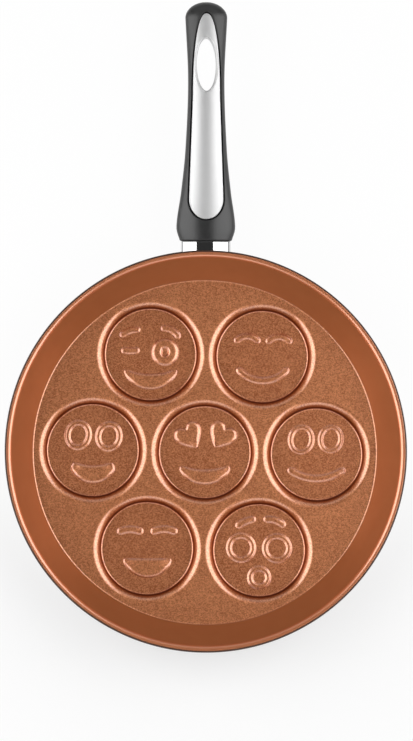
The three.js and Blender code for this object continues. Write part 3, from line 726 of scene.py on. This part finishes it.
def opening(edges):
    """The outline of an opening from its edge points on the right, counter-clockwise in plan."""
    return edges + [mirrored(p) for p in edges[-2:0:-1]]


def sink(skin, outline, levels):
    """Rings from an outline, each moved out in plan and up by a level. Gives back the last points."""
    normals = outward([Vector(p[:2]) for p in outline])
    rings = [outline]
    for out, up in levels:
        rings.append([Vector((p[0] + n.x * out, p[1] + n.y * out, p[2] + up))
                      for p, n in zip(outline, normals)])
    loops = [skin.loop(ring) for ring in rings]
    for a, b in zip(loops, loops[1:]):
        skin.bridge(a, b)
    return rings[-1], loops[-1]


def lip(radius, out, up):
    """Levels of a quarter-round edge, in or out and up or down."""
    return [(out * radius * math.sin(t), up * radius * (1 - math.cos(t)))
            for t in quarter_turn(LIP_STEPS)[1:]]


def handle_grip(finish):
    skin = Skin()
    pocket = GROOVE + LIP_R
    hole_edge = COLLAR_WALL + PIECE_GAP + HOLE_ROLL_R
    pocket_ends = (INLAY_FROM - pocket, INLAY_TIP + pocket)
    hole_ends = both_ends(HOLE_AT, HOLE_LENGTH / 2 + hole_edge)
    bore_ends = both_ends(SCREW_AT, COUNTERBORE_R + LIP_R)
    places = merged(
        [0, *pocket_ends, HANDLE_LENGTH, *hole_ends, *bore_ends],
        [FRONT_EDGE_R * (1 - math.cos(t)) for t in quarter_turn(GRIP_FRONT_STEPS)],
        [KNOB_AT + KNOB_FROM_END * math.sin(t) for t in quarter_turn(GRIP_END_STEPS)],
        inlay_places(pocket),
        round_places(HOLE_AT, HOLE_LENGTH / 2 + hole_edge, HOLE_STEPS),
        round_places(SCREW_AT, COUNTERBORE_R + LIP_R, BORE_STEPS),
        [GRIP_STEP * k for k in range(1, int(HANDLE_LENGTH / GRIP_STEP))],
    )
    top_rows = [grip_quarter(y, True, inlay_half(y, pocket)) for y in places]
    bottom_rows = [grip_quarter(y, False, max(hole_half(y, hole_edge), bore_half(y, LIP_R)))
                   for y in places]
    lay_strips(skin, top_rows)
    lay_strips(skin, bottom_rows)

    floor_drop = INLAY_THICKNESS + POCKET_CLEARANCE
    _, floor = sink(skin, opening(edge_points(places, top_rows, pocket_ends)),
                    lip(LIP_R, -1, -1) + [(-LIP_R, -floor_drop)])
    wall, below = sink(skin, opening(edge_points(places, bottom_rows, hole_ends)), lip(HOLE_ROLL_R, -1, 1))
    above = skin.loop([(p[0], p[1], crown(p[0], p[1]) - floor_drop) for p in wall])
    skin.bridge(below, above)
    skin.fill(floor, [above])
    wall, mouth_ring = sink(skin, opening(edge_points(places, bottom_rows, bore_ends)), lip(LIP_R, -1, 1))
    seat = skin.loop([(p[0], p[1], SEAT_Z) for p in wall])
    skin.bridge(mouth_ring, seat)
    skin.fill(seat)
    front = skin.loop(all_round(top_rows[0], bottom_rows[0]))
    middle = skin.loop([(0, 0, 0)])[0]
    for k, corner in enumerate(front):
        skin.face((front[k - 1], corner, middle), 0)
    return skin.make("grip_looks", [finish], HANDLE_FRAME)


def handle_inlay(finish):
    skin = Skin()
    inset = -INLAY_EDGE_R
    collar = COLLAR_ROLL_R + COLLAR_CREASE
    strip_ends = (INLAY_FROM - inset, INLAY_TIP + inset)
    hole_ends = both_ends(HOLE_AT, HOLE_LENGTH / 2 + collar)
    places = merged(
        [*strip_ends, *hole_ends],
        inlay_places(inset),
        round_places(HOLE_AT, HOLE_LENGTH / 2 + collar, HOLE_STEPS),
        [INLAY_STEP * k for k in range(round(strip_ends[0] / INLAY_STEP) + 1,
                                       int(strip_ends[1] / INLAY_STEP))],
    )
    rows = []
    for y in places:
        outer, inner = inlay_half(y, inset), hole_half(y, collar)
        xs = [outer + (inner - outer) * k / INLAY_STRIPS for k in range(INLAY_STRIPS + 1)]
        rows.append([Vector((x, y, crown(x, y))) for x in xs])
    lay_strips(skin, rows)
    under = -INLAY_THICKNESS
    edge = opening([row[0] for row in rows])
    _, outer_ring = sink(skin, edge, lip(INLAY_EDGE_R, 1, -1) + [(INLAY_EDGE_R, under)])
    hole = opening(edge_points(places, rows, hole_ends))
    crease = [(-COLLAR_CREASE / 2, -COLLAR_CREASE_DEPTH), (-COLLAR_CREASE, 0)]
    rolled = [(out - COLLAR_CREASE, up) for out, up in lip(COLLAR_ROLL_R, -1, -1)]
    back = COLLAR_WALL - collar
    _, collar_ring = sink(skin, hole, crease + rolled + [
        (-collar, -COLLAR_DEPTH), (back, -COLLAR_DEPTH), (back, under)])
    skin.fill(outer_ring, [collar_ring])
    return skin.make("inlay_looks", [finish], HANDLE_FRAME)


def guard_ring(inset, place):
    """One section of the flame guard, with each point's place along the handle given by its x and z."""
    half = FRONT_W / 2 - GUARD_STEP - inset
    rises = (FRONT_TOP - GUARD_STEP - inset, FRONT_BOTTOM - GUARD_STEP - inset)
    right = []
    for upper, rise in zip((True, False), rises):
        dense = [superellipse(upper, half, rise, t) for t in quarter_turn(GUARD_SAMPLES)]
        right.append(even([Vector((x, 0, z)) for x, z in dense], GUARD_POINTS))
    return [Vector((p.x, place(p), p.z)) for p in all_round(*right)]


def to_wall(p):
    """Where a line along the handle through a point of the section meets the pan's outer wall."""
    low, high = -SEARCH_BACK, 0.0
    for _ in range(SEARCH_ROUNDS):
        y = (low + high) / 2
        at = HANDLE_FRAME @ Vector((p.x, y, p.z))
        if math.hypot(at.x, at.y) < wall_outer_r(at.z) + PIECE_GAP / math.cos(WALL_LEAN):
            low = y
        else:
            high = y
    return high


def flame_guard(finish):
    skin = Skin()
    rings = []
    for t in quarter_turn(GUARD_EDGE_STEPS):
        back = -PIECE_GAP - GUARD_EDGE_R * (1 - math.cos(t))
        rings.append(guard_ring(GUARD_EDGE_R * (1 - math.sin(t)), lambda p, back=back: back))
    outer_front = PIECE_GAP + GUARD_EDGE_R
    for share in GUARD_SHARES:
        rings.append(guard_ring(0, lambda p, s=share: s * to_wall(p) - (1 - s) * outer_front))
    for share in (1, 0):
        rings.append(guard_ring(GUARD_WALL, lambda p, s=share: s * to_wall(p) - (1 - s) * PIECE_GAP))
    loops = [skin.loop(ring) for ring in rings]
    for a, b in zip(loops, loops[1:] + loops[:1]):
        skin.bridge(a, b)
    return skin.make("guard_looks", [finish], HANDLE_FRAME)


# Materials

def grey(level):
    return level, level, level, 1


def add_node(tree, kind, inputs=(), **settings):
    """A node with its settings, and with its inputs set or linked."""
    made = tree.nodes.new(kind)
    for key, value in settings.items():
        setattr(made, key, value)
    for key, value in dict(inputs).items():
        if isinstance(value, bpy.types.NodeSocket):
            tree.links.new(value, made.inputs[key])
        else:
            made.inputs[key].default_value = value
    return made


def add_spread(tree, value, low, high, start=0.0, stop=1.0):
    """A value mapped from start and stop to low and high."""
    inputs = {"Value": value, "From Min": start, "From Max": stop, "To Min": low, "To Max": high}
    return add_node(tree, "ShaderNodeMapRange", inputs).outputs["Result"]


class Surface:
    """A material and short ways to add its nodes."""

    def __init__(self, name, **sockets):
        self.material = bpy.data.materials.new(name)
        self.material.use_nodes = True
        self.tree = self.material.node_tree
        self.shader = self.tree.nodes["Principled BSDF"]
        for socket, value in sockets.items():
            self.shader.inputs[socket.replace("_", " ")].default_value = value
        self.place = self.node("ShaderNodeTexCoord").outputs["Object"]

    def node(self, kind, inputs=(), **settings):
        return add_node(self.tree, kind, inputs, **settings)

    def noise(self, size, detail=2.0, place=None):
        """A noise whose patches are about a size across, in millimetres."""
        inputs = {"Vector": place or self.place, "Scale": 1 / (size * MM), "Detail": detail}
        return self.node("ShaderNodeTexNoise", inputs).outputs["Fac"]

    def flakes(self, size):
        """A random value for each small cell."""
        inputs = {"Vector": self.place, "Scale": 1 / (size * MM)}
        cells = self.node("ShaderNodeTexVoronoi", inputs)
        return self.node("ShaderNodeSeparateColor", {"Color": cells.outputs["Color"]}).outputs["Red"]

    def spread(self, value, *limits):
        return add_spread(self.tree, value, *limits)

    def math(self, operation, a, b):
        return self.node("ShaderNodeMath", {0: a, 1: b}, operation=operation).outputs["Value"]

    def blend(self, share, a, b):
        mix = self.node("ShaderNodeMix", {0: share, 6: a, 7: b}, data_type="RGBA")
        return mix.outputs[2]

    def radius(self):
        """Distance from the pan's axis, in metres."""
        flat = self.node("ShaderNodeVectorMath", {0: self.place, 1: (1, 1, 0)}, operation="MULTIPLY")
        length = self.node("ShaderNodeVectorMath", {0: flat.outputs["Vector"]}, operation="LENGTH")
        return length.outputs["Value"]

    def upward(self):
        """How far the surface faces up, from -1 to 1."""
        facing = self.node("ShaderNodeTexCoord").outputs["Normal"]
        return self.node("ShaderNodeSeparateXYZ", {"Vector": facing}).outputs["Z"]

    def height(self):
        """Height above the base, in metres."""
        return self.node("ShaderNodeSeparateXYZ", {"Vector": self.place}).outputs["Z"]

    def bump(self, height, strength, depth):
        inputs = {"Height": height, "Strength": strength, "Distance": depth * MM}
        normal = self.node("ShaderNodeBump", inputs).outputs["Normal"]
        self.tree.links.new(normal, self.shader.inputs["Normal"])

    def link(self, value, socket):
        self.tree.links.new(value, self.shader.inputs[socket])


def copper_coat():
    """Grainy and glossy on the floor, plain on the wall, glossy on the rolled rim, with less coat and painted
    shade on steep sides and painted light on the parts above the mould floors.
    """
    surface = Surface("copper_coat_looks", Coat_Roughness=0.2, Coat_IOR=2.2,
                      Specular_Tint=(0.8, 0.5, 0.35, 1))
    radius = surface.radius()
    grainy = surface.spread(radius, 1, 0, (PLATEAU_R - 0.3) * MM, (PLATEAU_R + 0.3) * MM)
    rolled = surface.spread(radius, 0, 1, (RIM_INNER_R - 1.2) * MM, (RIM_INNER_R - 0.4) * MM)
    glossy = surface.math("ADD", grainy, rolled)
    flake = surface.flakes(0.65)
    cloud = surface.noise(9, 3)
    tone = surface.math("ADD", surface.spread(flake, -0.55, 0.55), surface.spread(cloud, -0.15, 0.15))
    # Painted light: the parts above the mould floors, the plateau and the faces' tops, are made lighter than
    # the floors
    raised = surface.spread(surface.height(), 0, 0.2, (FLOOR_Z + 0.4) * MM, (FLOOR_Z + 0.9) * MM)
    tone = surface.spread(surface.math("ADD", tone, raised), 0, 1, -0.8, 0.8)
    pressed = surface.blend(tone, (0.42, 0.082, 0.019, 1), (1.0, 0.405, 0.168, 1))
    # Painted shade: steep faces of the pressed copper, such as the mould walls and the faces' sides, get a
    # dark colour
    flat = surface.spread(surface.upward(), 0, 1, 0.45, 0.9)
    steep_painted_shade = surface.blend(flat, (0.135, 0.037, 0.009, 1), pressed)
    sprayed = surface.blend(cloud, (0.345, 0.119, 0.042, 1), (0.385, 0.139, 0.052, 1))
    edge = surface.blend(rolled, sprayed, (0.81, 0.28, 0.12, 1))
    surface.link(surface.blend(grainy, edge, steep_painted_shade), "Base Color")
    surface.link(surface.spread(glossy, 0.4, 0.92), "Metallic")
    surface.link(surface.math("MULTIPLY", glossy, flat), "Coat Weight")
    surface.link(surface.spread(cloud, 0.40, 0.44), "Roughness")
    grain = surface.noise(0.7, 2)
    surface.bump(surface.math("MULTIPLY", grain, grainy), 0.3, 0.2)
    return surface.material


def dark_enamel():
    surface = Surface("outside_enamel_looks", Metallic=0.2, Specular_IOR_Level=0.35)
    cloud = surface.noise(6, 4)
    surface.link(surface.blend(cloud, (0.050, 0.022, 0.013, 1), (0.085, 0.040, 0.024, 1)), "Base Color")
    surface.link(surface.spread(cloud, 0.46, 0.56), "Roughness")
    surface.bump(surface.noise(0.7, 2), 0.12, 0.1)
    return surface.material


def turned_base():
    surface = Surface("turned_base_looks", Metallic=1.0)
    rings = surface.node("ShaderNodeTexNoise", {"W": surface.radius(), "Scale": 2600.0, "Detail": 2.0},
                         noise_dimensions="1D").outputs["Fac"]
    cloud = surface.noise(14, 3)
    surface.link(surface.blend(cloud, (0.52, 0.51, 0.50, 1), (0.66, 0.65, 0.64, 1)), "Base Color")
    surface.link(surface.spread(rings, 0.26, 0.42), "Roughness")
    surface.bump(rings, 0.25, 0.05)
    return surface.material


def charcoal_phenolic():
    surface = Surface("charcoal_phenolic_looks", Specular_IOR_Level=0.75)
    cloud = surface.noise(5, 4)
    surface.link(surface.blend(cloud, grey(0.014), grey(0.021)), "Base Color")
    surface.link(surface.spread(cloud, 0.32, 0.40), "Roughness")
    surface.bump(surface.noise(0.5, 2), 0.18, 0.08)
    return surface.material


def polished_steel(name, level, smooth, rough):
    """Steel with fine lines drawn along the handle."""
    surface = Surface(name, Metallic=1.0)
    drawn = (1, 0.04, 1)
    along = surface.node("ShaderNodeVectorMath", {0: surface.place, 1: drawn}, operation="MULTIPLY")
    lines = surface.noise(0.35, 2, along.outputs["Vector"])
    cloud = surface.noise(12, 2)
    surface.link(surface.blend(cloud, grey(level), grey(level + 0.06)), "Base Color")
    surface.link(surface.spread(lines, smooth, rough), "Roughness")
    return surface.material


def plain_steel():
    surface = Surface("plain_steel_looks", Metallic=1.0)
    cloud = surface.noise(3, 4)
    surface.link(surface.blend(cloud, grey(0.42), (0.56, 0.56, 0.55, 1)), "Base Color")
    surface.link(surface.spread(cloud, 0.26, 0.40), "Roughness")
    surface.bump(surface.noise(0.4, 2), 0.1, 0.03)
    return surface.material


# Pieces on the frame

def dress(piece, node):
    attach(piece, "root")
    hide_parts(node)


inlay_steel = polished_steel("inlay_steel_looks", 0.67, 0.50, 0.56)
guard_steel = polished_steel("guard_steel_looks", 0.70, 0.03, 0.06)
dress(pan_body(copper_coat(), dark_enamel(), turned_base()), "pan_body")
dress(handle_grip(charcoal_phenolic()), "handle_grip")
dress(handle_inlay(inlay_steel), "handle_inlay")
dress(flame_guard(guard_steel), "flame_guard")
steel = plain_steel()
for name in ("handle_bracket", "bracket_rivet_left", "bracket_rivet_right", "tang_nut", "handle_screw",
             "flat_washer", "spring_washer"):
    node_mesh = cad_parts[name].data
    node_mesh.materials.clear()
    node_mesh.materials.append(steel)


# Floor, light and camera

FLOOR_REACH = 6.0
FLOOR_GAP = 0.0003
LIGHTS_AIM = Vector((0, 0, 0.02))
SIDE_PANEL = (1.4, 1.14)
END_PANEL = (1.4, 0.8)
CAMERA_EYE = Vector((-0.0675, -0.0712, 2.035))
CAMERA_AIM = Vector((0.0001, 0.0518, 0.035))


def paper():
    """White where it is seen or mirrored, with the object's shadow on it, more so in front of the pan."""
    material = bpy.data.materials.new("paper")
    material.use_nodes = True
    tree = material.node_tree
    tree.nodes.clear()
    path = add_node(tree, "ShaderNodeLightPath")
    seen = path.outputs["Is Camera Ray"]
    for ray in ("Is Glossy Ray", "Is Transmission Ray"):
        either = add_node(tree, "ShaderNodeMath", {0: seen, 1: path.outputs[ray]}, operation="MAXIMUM")
        seen = either.outputs["Value"]
    place = add_node(tree, "ShaderNodeTexCoord").outputs["Object"]
    along = add_node(tree, "ShaderNodeSeparateXYZ", {"Vector": place}).outputs["Y"]
    glow = add_spread(tree, along, 0.5, 0.95, -0.13, 0.0)
    share = add_node(tree, "ShaderNodeMath", {0: seen, 1: glow}, operation="MULTIPLY").outputs["Value"]
    lit = add_node(tree, "ShaderNodeBsdfDiffuse", {"Color": grey(0.92)}).outputs["BSDF"]
    white = add_node(tree, "ShaderNodeEmission", {"Color": grey(1.0)}).outputs["Emission"]
    mix = add_node(tree, "ShaderNodeMixShader", {0: share, 1: lit, 2: white}).outputs["Shader"]
    add_node(tree, "ShaderNodeOutputMaterial", {"Surface": mix})
    return material


def floor():
    mesh = bpy.data.meshes.new("floor")
    sides = (-FLOOR_REACH, FLOOR_REACH)
    mesh.from_pydata([(x, y, 0) for y in sides for x in sides], [], [(0, 1, 3, 2)])
    mesh.materials.append(paper())
    made = bpy.data.objects.new("floor", mesh)
    made.location.z = -FLOOR_GAP
    bpy.context.collection.objects.link(made)


def panel(name, middle, size, level):
    """A soft rectangular light that looks at the pan, with a brightness where 1 is white."""
    data = bpy.data.lights.new(name, "AREA")
    data.shape = "RECTANGLE"
    data.size, data.size_y = size
    data.energy = level * math.pi * size[0] * size[1]
    made = bpy.data.objects.new(name, data)
    made.location = middle
    look = LIGHTS_AIM - Vector(middle)
    made.rotation_euler = look.to_track_quat("-Z", "Y").to_euler()
    made.visible_camera = False
    bpy.context.collection.objects.link(made)


def sky():
    """A dim world, darker overhead."""
    world = bpy.data.worlds.new("studio")
    bpy.context.scene.world = world
    world.use_nodes = True
    tree = world.node_tree
    place = add_node(tree, "ShaderNodeTexCoord").outputs["Generated"]
    height = add_node(tree, "ShaderNodeSeparateXYZ", {"Vector": place}).outputs["Z"]
    light = tree.nodes["Background"]
    light.inputs["Color"].default_value = grey(1)
    tree.links.new(add_spread(tree, height, 0.12, 0.035, 0.1, 0.75), light.inputs["Strength"])


def camera():
    data = bpy.data.cameras.new("camera")
    data.lens = 150.69
    data.sensor_width = 36
    data.clip_end = 20
    made = bpy.data.objects.new("camera", data)
    look = (CAMERA_AIM - CAMERA_EYE).normalized()
    right = look.cross(Vector((0, 1, 0))).normalized()
    axes = Matrix((right, right.cross(look), -look)).transposed()
    made.matrix_world = Matrix.Translation(CAMERA_EYE) @ axes.to_4x4()
    bpy.context.collection.objects.link(made)
    bpy.context.scene.camera = made


floor()
panel("left_light", (-0.87, 0, 0.69), SIDE_PANEL, 2.35)
panel("right_light", (0.83, 0.05, 0.735), SIDE_PANEL, 2.3)
panel("near_light", (0, -1.1, 0.65), END_PANEL, 1.1)
panel("far_light", (0, 1.1, 0.65), END_PANEL, 0.45)
sky()
camera()
bpy.context.scene.view_settings.view_transform = "Standard"
